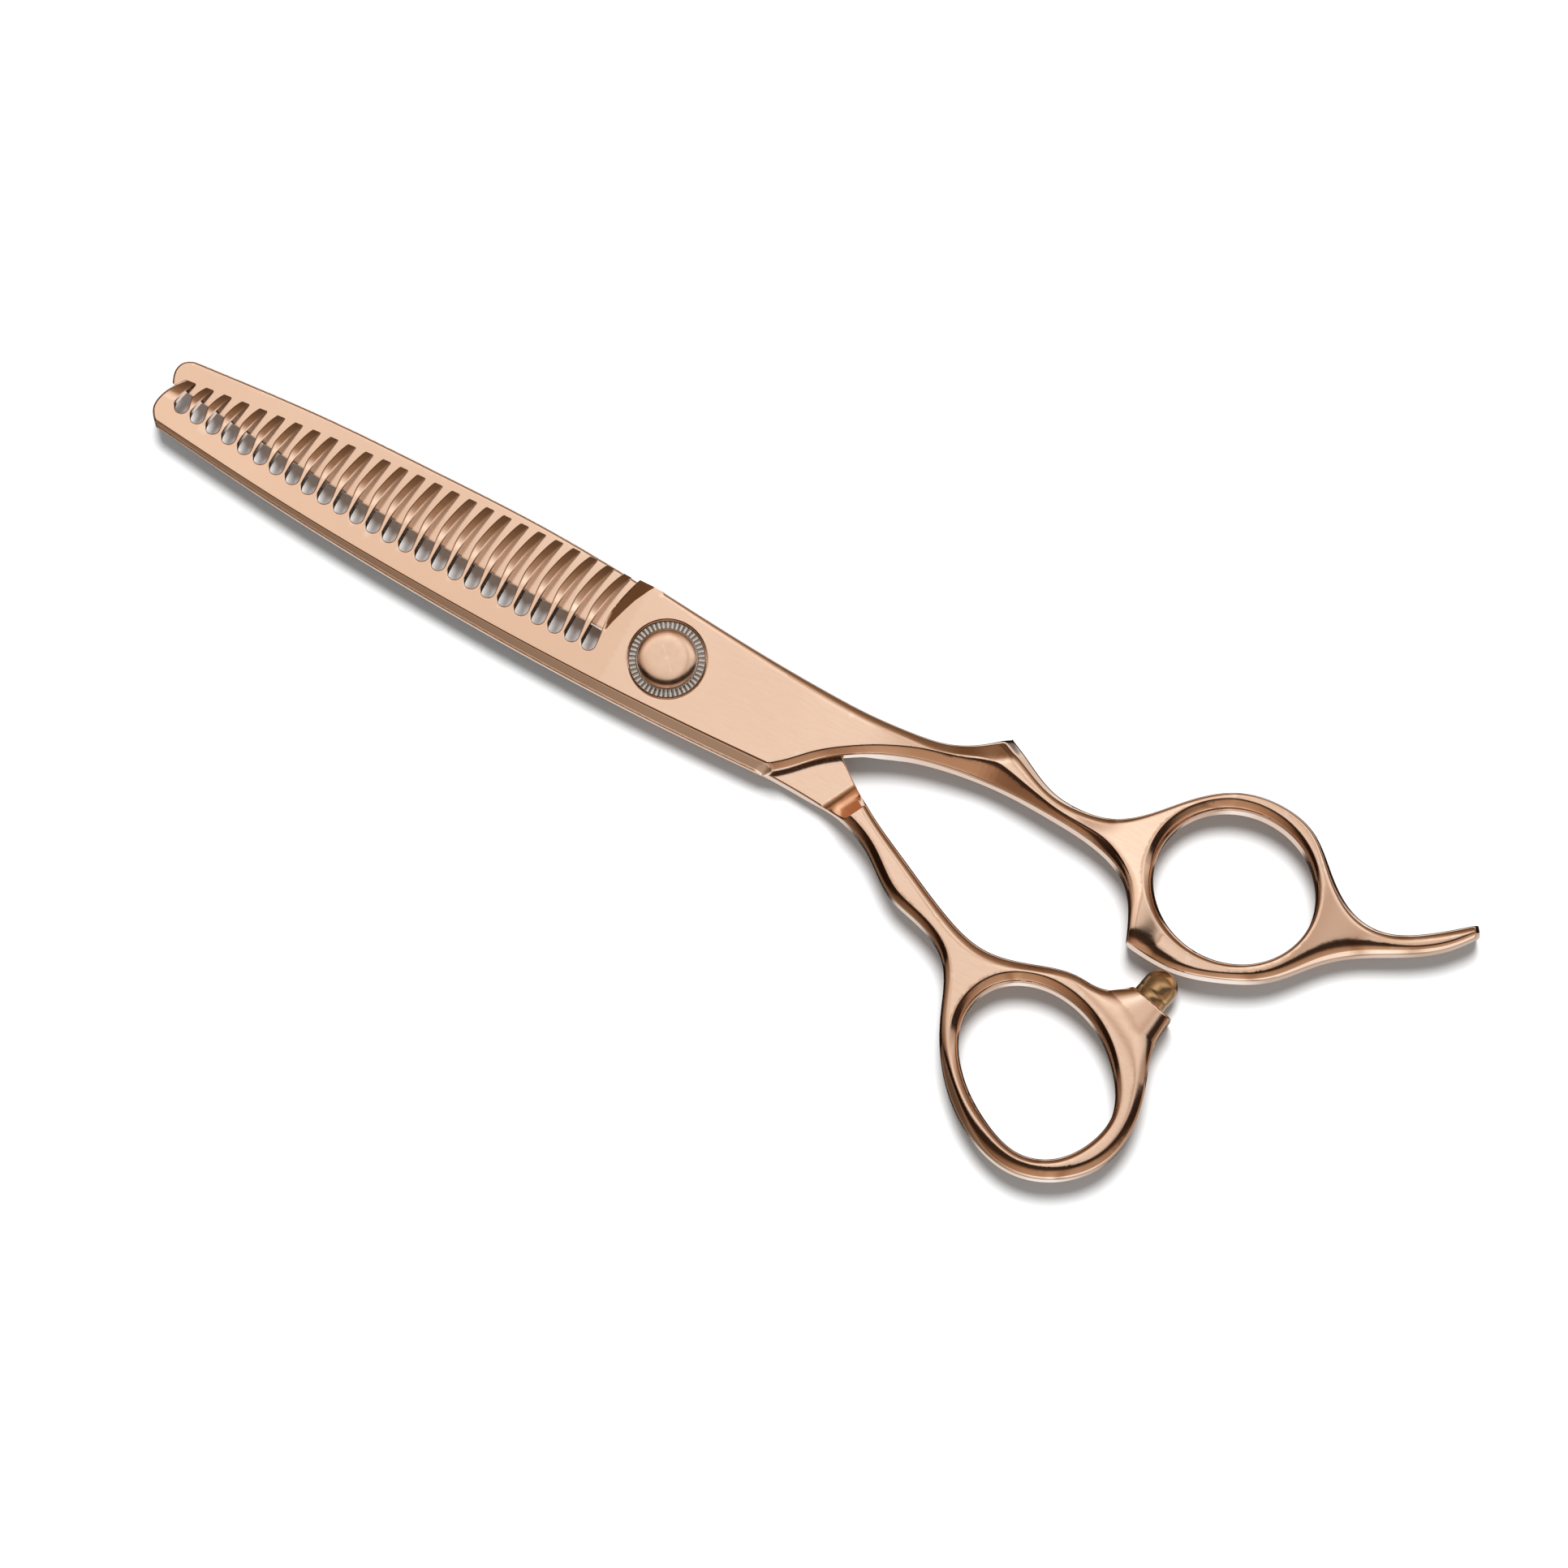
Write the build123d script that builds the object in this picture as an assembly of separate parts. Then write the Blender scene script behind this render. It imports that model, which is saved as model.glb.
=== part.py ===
"""Thinning shears: two pivoting halves, a ball-bearing tension screw and a closing bumper.

Frame: origin on the pivot axis in the plane the shears lie on, +X from the blade tips to the
handles, +Y towards the back of the plain blade, +Z up through the tension dial. Millimetres.
"""
from build123d import *
import os
import math

# ---- thickness of the two halves -----------------------------------------------------------
HALF_THICK = 3.18          # plain half at the pivot, from the resting plane up
FACE_GAP = 0.04            # running gap between the two inner faces
COMB_UNDER = HALF_THICK + FACE_GAP
TOP = 6.40                 # flat top of the comb half round the pivot
TIP_TOP = 5.00             # top of the comb half at the blade tip
TIP_UNDER = 1.20           # underside of the plain half at the blade tip
TAPER_START = -6.0         # x where both halves begin to thin towards the tip
TIP_X = -69.4              # outermost point of the blades
HANDLE_TOP = 6.20          # the handles and rings run from the resting plane to here
EDGE_ROUND = 0.70          # rounding of the finger handle edges
THUMB_EDGE_ROUND = 0.80    # rounding of the thumb handle edges

# ---- teeth ---------------------------------------------------------------------------------
SLOT_COUNT = 26
SLOT_PITCH = 2.285
FIRST_SLOT_X = -66.4
SLOT_ROOT_WIDTH = 1.76     # at the round bottom of a slot
SLOT_NARROWING = 0.55      # how much narrower a slot is between the tooth tips
TIP_DRIFT = 0.87           # how far the first slot bends towards the heel
HEEL_EXTRA_DRIFT = 0.58    # how much more the last one does
TOOTH_TIP_TOP = 3.55       # top of the tooth tips: the bevel ends here

# ---- rings ---------------------------------------------------------------------------------
FINGER_HOLE = (72.9, 7.7)
FINGER_HOLE_AXES = (10.0, 9.1)

# ---- bumper --------------------------------------------------------------------------------
BUMPER_BASE = (70.15, -8.50, 3.10)
BUMPER_AXIS = (0.234, 0.972, 0.0)
BUMPER_R = 2.20
BUMPER_LENGTH = 3.72       # from the collar face to the top of the dome
STUD_R = 1.00
STUD_REACH = 3.0           # stud length inside the collar
STUD_HEAD = 1.9            # stud length inside the bumper tip
COLLAR_R = 2.85

# ---- pivot ---------------------------------------------------------------------------------
BOLT_R = 2.00
BOLT_HEAD_R = 4.20
BOLT_HEAD_FLATS = 7.00     # across the two flats that stop the bolt turning
BOLT_HEAD_TOP = 1.20
BOLT_TOP = 5.60
BUSH_R = 2.60
BUSH_BORE_R = 2.03
POCKET_R = 4.72            # round pocket in the comb half holding bearing and dial
POCKET_FLOOR = 4.42
RACE_R = 4.40
RACE_BORE_R = 2.75
RACE_THICK = 0.28
BALL_R = 0.32
BALL_COUNT = 12
BALL_CIRCLE_R = 3.62
CAGE_THICK = 0.24
DIAL_R = 4.65
DIAL_BOTTOM = 5.93
DIAL_TOP = 6.48
DIAL_FLUTES = 48
CAP_R = 3.60
CAP_TOP_R = 3.30
CAP_HEIGHT = 1.15
CAP_STEM_R = 1.20
CAP_STEM_END = 3.60
STEM_GAP = 0.05
WASHER_R = 5.60
WASHER_THICK = 0.25

RACE_LOWER_Z = POCKET_FLOOR + 0.01
BALL_Z = RACE_LOWER_Z + RACE_THICK + BALL_R + 0.01
RACE_UPPER_Z = BALL_Z + BALL_R + 0.01
SPRING_Z = RACE_UPPER_Z + RACE_THICK + 0.01


def curve(*points, **kwargs):
    """Smooth plan curve through the given points."""
    return Spline(*[Vector(*p) for p in points], **kwargs)


def line(start, end):
    return Line(Vector(*start), Vector(*end))


def plate(edges, bottom, top):
    """Solid with the closed plan outline, between two heights."""
    face = Face(Wire(edges))
    if face.normal_at().Z < 0:
        face = -face
    return Pos(0, 0, bottom) * extrude(face, amount=top - bottom)


def cylinder(radius, bottom, top, x=0.0, y=0.0):
    return Pos(x, y, (bottom + top) / 2) * Cylinder(radius, top - bottom)


def tube(outer, inner, bottom, top):
    return cylinder(outer, bottom, top) - cylinder(inner, bottom - 1, top + 1)


def side_prism(points, y_min, y_max):
    """Prism along Y from an X-Z polygon."""
    corners = [Vector(x, y_min, z) for x, z in points]
    face = Face(Wire.make_polygon(corners, close=True))
    return Solid.extrude(face, Vector(0, y_max - y_min, 0))


def ramp_cutter(x, y, heading, foot, crest, rise):
    """Wedge that leaves a sloping step across a shank: flat until the foot, risen by the crest."""
    up = 1 if rise > 0 else -1
    far = up * 12
    wedge = side_prism([(-9, 0), (foot, 0), (crest, rise), (crest, far), (-9, far)], -9, 9)
    return Pos(x, y, 0) * Rot(0, 0, heading) * wedge


# ---- plan outlines -------------------------------------------------------------------------
def comb_blade_edges():
    """Toothed blade and the broad flat round the pivot."""
    spine = curve((-68.1, -3.5), (-50.6, -5.4), (-30.4, -6.75), (-10.0, -7.35), (5.0, -7.2),
                  (16.5, -6.75))
    heel = curve((16.5, -6.75), (18.9, -4.8), (21.3, -2.4), (24.0, -0.3), (28.0, 2.0), (31.0, 3.25))
    back = curve((31.0, 6.1), (20.0, 5.55), (8.0, 6.05), (-4.0, 7.0))
    tips = curve((-4.0, 7.0), (-9.3, 7.15), (-24.0, 6.75), (-40.0, 6.0), (-55.0, 4.7),
                 (-67.7, 3.2))
    nose = curve((-67.7, 3.2), (-69.2, 0.2), (-69.4, -1.6), (-68.1, -3.5))
    return [spine, heel, line((31.0, 3.25), (31.0, 6.1)), back, tips, nose]


def plain_blade_edges():
    """Plain blade and the hidden flat under the comb half, as far as the sloping step."""
    back = curve((-67.8, 5.8), (-50.4, 7.2), (-35.0, 7.65), (-20.3, 7.75), (-5.0, 6.9),
                 (16.5, 5.3))
    neck = curve((16.5, 5.3), (19.3, 3.6), (22.0, 1.2), (24.1, -0.35), (28.4, -3.65))
    under = curve((27.0, -7.0), (24.0, -6.6), (16.0, -6.3), (2.0, -6.6), (-4.4, -5.5),
                  (-7.6, -2.6), (-8.2, 0.1))
    edge = curve((-8.2, 0.1), (-20.3, -0.2), (-35.0, -0.1), (-50.4, 0.4), (-69.0, 2.2))
    nose = curve((-69.0, 2.2), (-69.5, 3.8), (-69.0, 5.1), (-67.8, 5.8))
    return [back, neck, line((28.4, -3.65), (27.0, -7.0)), under, edge, nose]


def finger_handle_edges():
    """Shank with its finger bump, finger ring and tang."""
    bump_front = curve((24.0, 5.5), (30.0, 6.05), (35.0, 7.1), (38.3, 8.95), (41.0, 11.3))
    ring_top = curve((41.0, 11.3), (44.5, 9.4), (48.5, 7.65), (52.0, 7.3), (56.0, 8.1), (60.0, 11.0),
                     (63.8, 15.05), (68.5, 18.15), (73.3, 19.05), (78.0, 18.0), (82.8, 14.15),
                     (87.5, 11.4), (91.0, 11.25), (95.5, 13.35), (100.7, 17.5))
    ring_under = curve((101.6, 16.4), (99.1, 13.4), (94.9, 10.3), (89.8, 7.45), (86.1, 4.5),
                       (81.8, -0.1), (76.9, -2.8), (71.0, -4.5), (64.5, -4.25))
    shank_under = curve((64.5, -4.25), (63.3, -1.3), (61.1, 2.0), (57.0, 4.05), (50.0, 4.95),
                        (43.0, 5.1), (36.0, 4.35), (30.0, 2.95), (24.0, -0.3))
    return [bump_front, ring_top, line((100.7, 17.5), (101.6, 16.4)), ring_under,
            shank_under, line((24.0, -0.3), (24.0, 5.5))]


def thumb_handle_edges():
    """Shank, thumb ring and the root of the bumper collar."""
    shank_top = curve((24.1, -0.35), (29.0, -4.0), (36.0, -7.75), (43.0, -11.1), (50.0, -13.05),
                      (56.0, -11.8), (61.0, -10.6), (64.9, -10.45), (67.7, -8.55))
    collar_face = line((67.7, -8.55), (73.5, -9.95))
    ring_right = curve((73.5, -9.95), (73.2, -13.6), (74.65, -18.75), (75.65, -23.6), (74.65, -28.7),
                       (70.85, -33.05), (65.0, -35.1), (58.0, -33.05), (52.4, -28.2), (48.8, -22.0),
                       (45.8, -16.15), (40.5, -13.6), (37.1, -12.6), (32.0, -9.05), (27.0, -7.0),
                       (23.4, -6.55))
    return [shank_top, collar_face, ring_right, line((23.4, -6.55), (24.1, -0.35))]


def thumb_hole_edges():
    return [curve((51.5, -21.0), (53.0, -16.5), (57.0, -13.95), (61.5, -13.65), (66.4, -15.3),
                  (70.55, -18.9), (72.65, -23.5), (71.7, -27.9), (68.8, -31.4), (65.0, -32.7),
                  (60.0, -31.3), (54.6, -27.4), periodic=True)]


# ---- comb half -----------------------------------------------------------------------------
def slot(index):
    """One slot between two teeth: round bottom, then a narrower channel that bends to the heel."""
    share = index / (SLOT_COUNT - 1)
    r = SLOT_ROOT_WIDTH / 2
    root = r - 0.92 - 6.1 * share + 3.5 * share * share
    reach = 3.4 + 13.4 * share - 7.0 * share * share
    left, right = [], []
    for f in (0, 0.15, 0.3, 0.5, 0.75, 1.0):
        drift = (TIP_DRIFT + HEEL_EXTRA_DRIFT * share) * f ** (1.35 + 1.1 * share)
        narrowing = SLOT_NARROWING * min(1, 2 * f) ** 2 * (3 - 2 * min(1, 2 * f))
        left.append((drift - r, reach * f))
        right.append((r + drift - narrowing, reach * f))
    mouth = [(right[-1][0] + 0.1, reach + 0.9), (left[-1][0] + 0.25, reach + 0.9)]
    end = ThreePointArc((-r, 0), (0, -r), (r, 0))
    lead = [Line(right[-1], mouth[0]), Line(mouth[0], mouth[1]), Line(mouth[1], left[-1])]
    up = Spline(*right, tangents=[(0, 1), (right[-1][0] - right[-2][0], reach / 4)])
    down = Spline(*left, tangents=[(0, 1), (left[-1][0] - left[-2][0], reach / 4)])
    body = extrude(Face(Wire([end, up, *lead, down])), amount=8)
    return Pos(FIRST_SLOT_X + SLOT_PITCH * index, root, 1) * body


def tooth_bevel():
    """Region above the rounded bevel that thins the teeth towards their tips."""
    def section(x, start, z_start, end):
        span = end - start
        drop = z_start - TOOTH_TIP_TOP
        middle = (x, start + 0.55 * span, z_start - 0.30 * drop)
        arc = ThreePointArc((x, start, z_start), middle, (x, end, TOOTH_TIP_TOP))
        rise = Line((x, end, TOOTH_TIP_TOP), (x, end, 9))
        roof = Line((x, end, 9), (x, start, 9))
        return Face(Wire([arc, rise, roof, Line((x, start, 9), (x, start, z_start))]))

    slope = (TOP - TIP_TOP) / (TAPER_START - TIP_X)
    tip = section(-71.0, 0.2, TOP + slope * (-71.0 - TAPER_START), 3.4)
    middle = section(-38.0, -0.2, TOP + slope * (-38.0 - TAPER_START), 6.4)
    heel = section(-2.0, -0.4, TOP + 0.02, 7.6)
    body = Solid.make_loft([f.outer_wire() for f in (tip, middle, heel)])
    wall = Plane(origin=(-8.3, -0.3, TOP), x_dir=(2.8, 7.1, 0), z_dir=(0.77, -0.30, 0.56))
    corner = wall.origin - wall.x_dir * 30 - wall.y_dir * 30 - wall.z_dir * 90
    keep = Solid.make_box(60, 60, 90, Plane(origin=corner, x_dir=wall.x_dir, z_dir=wall.z_dir))
    return body & keep


def comb_half():
    blade = plate(comb_blade_edges(), COMB_UNDER, TOP)
    blade = ease(blade, blade.faces().sort_by(Axis.Z)[-1].edges(), 0.7)
    thin = side_prism([(TAPER_START, TOP), (TIP_X - 2, TIP_TOP - 0.05), (TIP_X - 2, 9),
                       (TAPER_START, 9)], -12, 12)
    blade = blade - thin - tooth_bevel()
    for index in range(SLOT_COUNT):
        blade = blade - slot(index)
    handle = plate(finger_handle_edges(), 0, HANDLE_TOP)
    hole = extrude(Pos(*FINGER_HOLE, -1) * Ellipse(*FINGER_HOLE_AXES).face(), amount=9)
    handle = handle - hole
    handle = ease(handle, rims(handle), EDGE_ROUND)
    step = ramp_cutter(24.0, 2.5, 14.0, 2.6, 6.0, -COMB_UNDER)
    handle = handle - step.moved(Pos(0, 0, COMB_UNDER))
    body = blade + handle
    body = body - cylinder(BUSH_R, 0, TOP + 1) - cylinder(POCKET_R, POCKET_FLOOR, TOP + 1)
    return body


def rims(body):
    """Edges round the top and bottom faces of a plate."""
    faces = body.faces().filter_by(Axis.Z).sort_by(Axis.Z)
    return faces[0].edges() + faces[-1].edges()


def ease(body, edges, radius):
    """Round the given edges."""
    return body.fillet(radius, list(edges))


# ---- plain half ----------------------------------------------------------------------------
def thumb_half():
    blade = plate(plain_blade_edges(), 0, HALF_THICK)
    thin = side_prism([(TAPER_START, 0), (TIP_X - 2, TIP_UNDER + 0.05), (TIP_X - 2, -3),
                       (TAPER_START, -3)], -12, 12)
    blade = blade - thin - edge_bevel()
    handle = plate(thumb_handle_edges(), 0, HANDLE_TOP)
    handle = handle - plate(thumb_hole_edges(), -1, HANDLE_TOP + 1)
    handle = ease(handle, rims(handle), THUMB_EDGE_ROUND)
    step = ramp_cutter(24.0, -3.8, -28.4, 1.6, 4.4, HANDLE_TOP - HALF_THICK)
    handle = handle - step.moved(Pos(0, 0, HALF_THICK))
    washer_seat = cylinder(WASHER_R + 0.05, HALF_THICK - WASHER_THICK + 0.02, HALF_THICK + 1)
    body = blade + handle + collar()
    return body - bolt_seat() - washer_seat - stud_shape(0.0, 0.3)


def edge_bevel():
    """Region under the plain blade removed to bring its cutting edge up to the inner face."""
    def section(x, start, low):
        return Wire.make_polygon([(x, start, low), (x, -0.9, HALF_THICK - 0.35), (x, -3.0, 2.0),
                                  (x, -3.0, -2.0), (x, start, -2.0)], close=True)
    slope = TIP_UNDER / (TAPER_START - TIP_X)
    tip = section(-71.0, 5.2, slope * (TAPER_START + 71.0))
    heel = section(-8.6, 4.8, slope * (TAPER_START + 8.6))
    return Solid.make_loft([tip, heel], ruled=True)


def collar():
    """Flared boss on the thumb ring that carries the bumper."""
    base = Plane(origin=BUMPER_BASE, z_dir=BUMPER_AXIS)
    root = base.offset(-4.6)
    return Solid.make_loft([Wire.make_circle(1.7, root), Wire.make_circle(COLLAR_R, base)], ruled=True)


def bolt_seat():
    """Round hole for the bolt and a recess with two flats for its head."""
    flats = Box(2 * BOLT_HEAD_R + 1, BOLT_HEAD_FLATS + 0.1, 2 * BOLT_HEAD_TOP + 0.1)
    return cylinder(BOLT_R + 0.02, -1, 8) + (cylinder(BOLT_HEAD_R + 0.05, -1, BOLT_HEAD_TOP + 0.05) & flats)


def stud_shape(grow, extra):
    """Threaded stud of the bumper along its axis."""
    base = Plane(origin=BUMPER_BASE, z_dir=BUMPER_AXIS)
    length = STUD_REACH + STUD_HEAD + extra
    return Solid.make_cylinder(STUD_R + grow, length, base.offset(-STUD_REACH - extra))


# ---- small parts ---------------------------------------------------------------------------
def bumper_tip():
    """Domed soft tip, hollow to take its stud."""
    base = Plane(origin=BUMPER_BASE, z_dir=BUMPER_AXIS)
    body = Solid.make_cylinder(BUMPER_R, BUMPER_LENGTH, base)
    top = body.faces().sort_by(lambda f: f.center().Y)[-1]
    return body.fillet(1.7, top.edges()) - stud_shape(0.0, 0.0)


def bumper_stud():
    return stud_shape(0.0, 0.0)


def pivot_bolt():
    flats = Box(2 * BOLT_HEAD_R + 1, BOLT_HEAD_FLATS, 4 * BOLT_HEAD_TOP)
    head = cylinder(BOLT_HEAD_R, 0, BOLT_HEAD_TOP) & flats
    shaft = cylinder(BOLT_R, BOLT_HEAD_TOP - 0.2, BOLT_TOP)
    return head + shaft - cylinder(CAP_STEM_R + STEM_GAP, CAP_STEM_END - 0.2, BOLT_TOP + 1)


def pivot_bushing():
    return tube(BUSH_R, BUSH_BORE_R, COMB_UNDER + 0.05, POCKET_FLOOR)


def glide_washer():
    low = HALF_THICK - WASHER_THICK + 0.03
    return tube(WASHER_R, BUSH_BORE_R + 0.07, low, low + WASHER_THICK)


def lower_race():
    return tube(RACE_R, RACE_BORE_R, RACE_LOWER_Z, RACE_LOWER_Z + RACE_THICK)


def upper_race():
    return tube(RACE_R, BOLT_R + 0.1, RACE_UPPER_Z, RACE_UPPER_Z + RACE_THICK)


def ball_cage():
    cage = tube(RACE_R, RACE_BORE_R, BALL_Z - CAGE_THICK / 2, BALL_Z + CAGE_THICK / 2)
    for place in PolarLocations(BALL_CIRCLE_R, BALL_COUNT):
        cage = cage - place * Pos(0, 0, BALL_Z) * Cylinder(BALL_R + 0.03, 1)
    return cage


def bearing_balls():
    places = PolarLocations(BALL_CIRCLE_R, BALL_COUNT)
    return Compound(children=[place * Pos(0, 0, BALL_Z) * Sphere(BALL_R) for place in places])


def click_spring():
    """Thin ring with three raised pips the dial clicks over."""
    ring = tube(RACE_R, BOLT_R + 0.1, SPRING_Z, SPRING_Z + 0.15)
    for place in PolarLocations(3.2, 3):
        ring = ring + place * Pos(0, 0, SPRING_Z + 0.15) * Cylinder(0.35, 0.2)
    return ring


def tension_dial():
    """Ring nut with radial grooves across its face."""
    ring = tube(DIAL_R, BOLT_R + 0.05, DIAL_BOTTOM, DIAL_TOP)
    for place in PolarLocations(4.15, DIAL_FLUTES):
        ring = ring - place * Pos(0, 0, DIAL_TOP) * Box(1.3, 0.24, 0.3)
    return ring


def screw_cap():
    """Domed cap on a threaded stem that holds the dial down."""
    low = DIAL_TOP + 0.01
    rim = low + 0.62
    skirt = Solid.make_cone(CAP_R, CAP_TOP_R, 0.62, Plane.XY.offset(low))
    height = CAP_HEIGHT - 0.62
    sphere_r = (CAP_TOP_R ** 2 + height ** 2) / (2 * height)
    dome = (Pos(0, 0, rim + height - sphere_r) * Sphere(sphere_r)) & cylinder(CAP_TOP_R, rim, rim + 2)
    return skirt + dome + cylinder(CAP_STEM_R, CAP_STEM_END, low + 0.1)


PARTS = [comb_half, thumb_half, pivot_bolt, pivot_bushing, glide_washer, lower_race, ball_cage,
         bearing_balls, upper_race, click_spring, tension_dial, screw_cap, bumper_tip, bumper_stud]

os.makedirs("parts", exist_ok=True)
for part in PARTS:
    export_step(part(), "parts/" + part.__name__ + ".step")
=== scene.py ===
"""Looks of the thinning shears: polished rose-gold steel on a pale floor.

Plan curves are in millimetres from the pivot, as in the CAD part. Heights come from the CAD boxes.
"""
import math

import bmesh
import bpy
import numpy as np
from mathutils import Matrix, Vector
from mathutils.geometry import delaunay_2d_cdt
from mathutils.kdtree import KDTree


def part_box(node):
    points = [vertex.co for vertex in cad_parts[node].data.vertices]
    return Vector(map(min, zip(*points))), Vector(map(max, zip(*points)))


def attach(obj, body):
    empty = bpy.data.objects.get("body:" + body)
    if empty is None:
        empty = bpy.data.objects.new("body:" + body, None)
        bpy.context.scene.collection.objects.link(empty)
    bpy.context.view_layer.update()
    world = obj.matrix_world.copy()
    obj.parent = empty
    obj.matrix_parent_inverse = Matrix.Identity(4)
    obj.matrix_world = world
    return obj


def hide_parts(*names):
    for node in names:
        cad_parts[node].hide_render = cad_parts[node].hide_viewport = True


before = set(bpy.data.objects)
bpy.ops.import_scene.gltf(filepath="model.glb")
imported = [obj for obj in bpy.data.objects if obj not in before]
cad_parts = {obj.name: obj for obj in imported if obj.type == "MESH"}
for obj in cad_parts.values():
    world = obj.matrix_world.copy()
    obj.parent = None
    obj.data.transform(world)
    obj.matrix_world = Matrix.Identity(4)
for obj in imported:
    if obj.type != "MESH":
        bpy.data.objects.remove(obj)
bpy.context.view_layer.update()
MM = 0.001


def top_of(node):
    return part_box(node)[1][2] / MM


def bottom_of(node):
    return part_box(node)[0][2] / MM


# ---- heights, from the CAD ------------------------------------------------------------------
PLATEAU = top_of("comb_half")                     # flat round the pivot
COMB_UNDER = bottom_of("pivot_bushing") - 0.05    # ride face of the comb half
PLAIN_TOP = COMB_UNDER - 0.04                     # ride face of the plain half
POCKET_FLOOR = bottom_of("lower_race") - 0.01
HANDLE_TOP = PLATEAU - 0.2
TIP_TOP = PLATEAU - 1.4                           # both halves thin from TAPER_START to their tips
TIP_UNDER = 1.2
TAPER_START = -6.0
TIP_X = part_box("thumb_half")[0][0] / MM
TOOTH_TIP_TOP = 3.55
POCKET_R = 4.72
BORE_R = 2.6

# ---- teeth ----------------------------------------------------------------------------------
SLOTS = 26
PITCH = 2.285
FIRST_SLOT = -66.4
ROOT_HALF = 0.88
NARROWING = 0.55                           # a slot is this much narrower between the tooth tips
TIP_DRIFT, HEEL_EXTRA_DRIFT = 0.87, 0.58   # how far the slots bend towards the heel
# (first slot, change, bend) of the drop of the slot roots below y = 0 and of the slots' length
ROOT_DROP = (0.92, 6.1, 3.5)
SLOT_LENGTH = (3.4, 13.4, 7.0)

# ---- plan curves ----------------------------------------------------------------------------
SPINE = [(-68.1, -3.5), (-50.6, -5.4), (-30.4, -6.75), (-10.0, -7.35), (5.0, -7.2), (16.5, -6.75)]
LOWER = [(16.5, -6.75), (18.9, -4.8), (21.3, -2.4), (24.0, -0.3), (27.6, 1.75), (31.5, 3.3), (36.0, 4.35),
         (43.0, 5.1), (50.0, 4.95), (57.0, 4.05), (61.1, 2.0), (63.3, -1.3), (64.5, -4.25)]
RING_UNDER = [(64.5, -4.25), (71.0, -4.5), (76.9, -2.8), (81.8, -0.1), (86.1, 4.5), (89.8, 7.45),
              (94.9, 10.3), (99.1, 13.4), (101.5, 16.3)]
RING_TOP = [(100.7, 17.4), (95.5, 13.35), (91.0, 11.25), (87.5, 11.4), (82.8, 14.15), (78.0, 18.0),
            (73.3, 19.0), (68.5, 18.15), (63.8, 15.05), (60.0, 11.0), (56.0, 8.1), (52.0, 7.3),
            (48.5, 7.65), (44.5, 9.4), (41.0, 11.3)]
BUMP = [(41.0, 11.3), (38.3, 8.95), (35.0, 7.1), (30.0, 6.05), (24.0, 5.6), (20.0, 5.6), (8.0, 6.1),
        (-4.0, 7.0)]
TIPS = [(-4.0, 7.0), (-9.3, 7.15), (-24.0, 6.75), (-40.0, 6.0), (-55.0, 4.7), (-67.7, 3.2)]
NOSE = [(-67.7, 3.2), (-69.2, 0.2), (-69.4, -1.6), (-68.1, -3.5)]

PLAIN_UNDER = [(-8.2, 0.1), (-7.6, -2.6), (-4.4, -5.5), (2.0, -6.6), (16.0, -6.3), (23.4, -6.55),
               (27.0, -7.0), (32.0, -9.05), (37.1, -12.6), (40.5, -13.6), (45.8, -16.15), (48.8, -22.0),
               (52.4, -28.2), (58.0, -33.05), (65.0, -35.05), (70.85, -33.05), (74.65, -28.7),
               (75.6, -23.6), (74.65, -18.75), (73.2, -13.6), (73.5, -9.95)]
COLLAR_FACE = [(73.5, -9.95), (67.7, -8.55)]
SHANK_TOP = [(67.7, -8.55), (64.9, -10.45), (61.0, -10.6), (56.0, -11.8), (50.0, -13.05), (43.0, -11.1),
             (36.0, -7.75), (29.0, -4.0), (24.1, -0.35), (22.0, 1.2), (19.3, 3.6), (16.5, 5.3)]
PLAIN_BACK = [(16.5, 5.3), (-5.0, 6.9), (-20.3, 7.75), (-35.0, 7.65), (-50.4, 7.2), (-67.8, 5.8)]
PLAIN_NOSE = [(-67.8, 5.8), (-69.0, 5.1), (-69.45, 3.8), (-69.0, 2.2)]
CUTTING_EDGE = [(-69.0, 2.2), (-50.4, 0.4), (-35.0, -0.1), (-20.3, -0.2), (-8.2, 0.1)]
FINGER_HOLE = (72.9, 7.7)
FINGER_AXES = (10.0, 9.1)
THUMB_HOLE = [(51.5, -21.0), (53.0, -16.5), (57.0, -13.95), (61.5, -13.65), (66.4, -15.3), (70.55, -18.9),
              (72.65, -23.5), (71.7, -27.9), (68.8, -31.4), (65.0, -32.7), (60.0, -31.3), (54.6, -27.4)]
THUMB_CENTRE = (62.5, -23.0)

# ---- collar of the bumper -------------------------------------------------------------------
COLLAR_MOUTH = (70.6, -9.25)
COLLAR_OUT = (0.234, 0.972)                # plan direction in which the bumper points
COLLAR_MID = 3.1                           # height of its axis


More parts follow.
